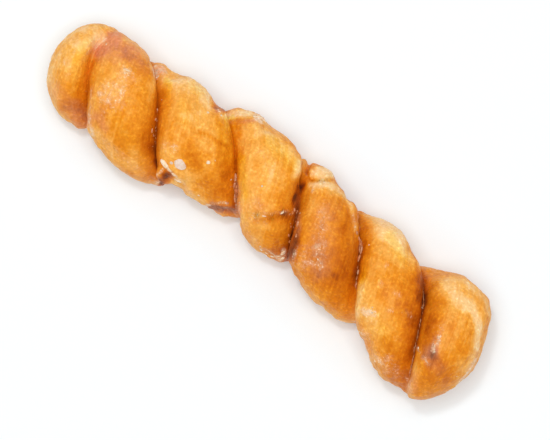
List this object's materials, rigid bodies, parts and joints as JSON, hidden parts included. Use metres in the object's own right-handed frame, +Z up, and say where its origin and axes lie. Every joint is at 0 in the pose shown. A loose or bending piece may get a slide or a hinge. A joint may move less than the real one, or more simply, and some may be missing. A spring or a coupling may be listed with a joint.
{
  "type": "twisted doughnut",
  "caption": "Long fried yeast doughnut, two strands of dough wound round each other and grown together, with rounded ends, deep slanting creases and a thin sugar glaze.",
  "frame": {"origin": "on the surface that the doughnut lies on, under the middle of its bounding box", "axes": "+X along the doughnut, towards its broader end; +Z up; +Y across it, completing a right-handed frame"},
  "size_m": [0.2, 0.0512, 0.0422],
  "materials": {
    "glazed_crust": "golden brown fried crust under a thin, patchy, glossy sugar glaze",
    "sugar_glaze": "dried sugar glaze, milky white and slightly translucent"
  },
  "bodies": {
    "root": {"twisted_dough": "glazed_crust"}
  },
  "joints": []
}
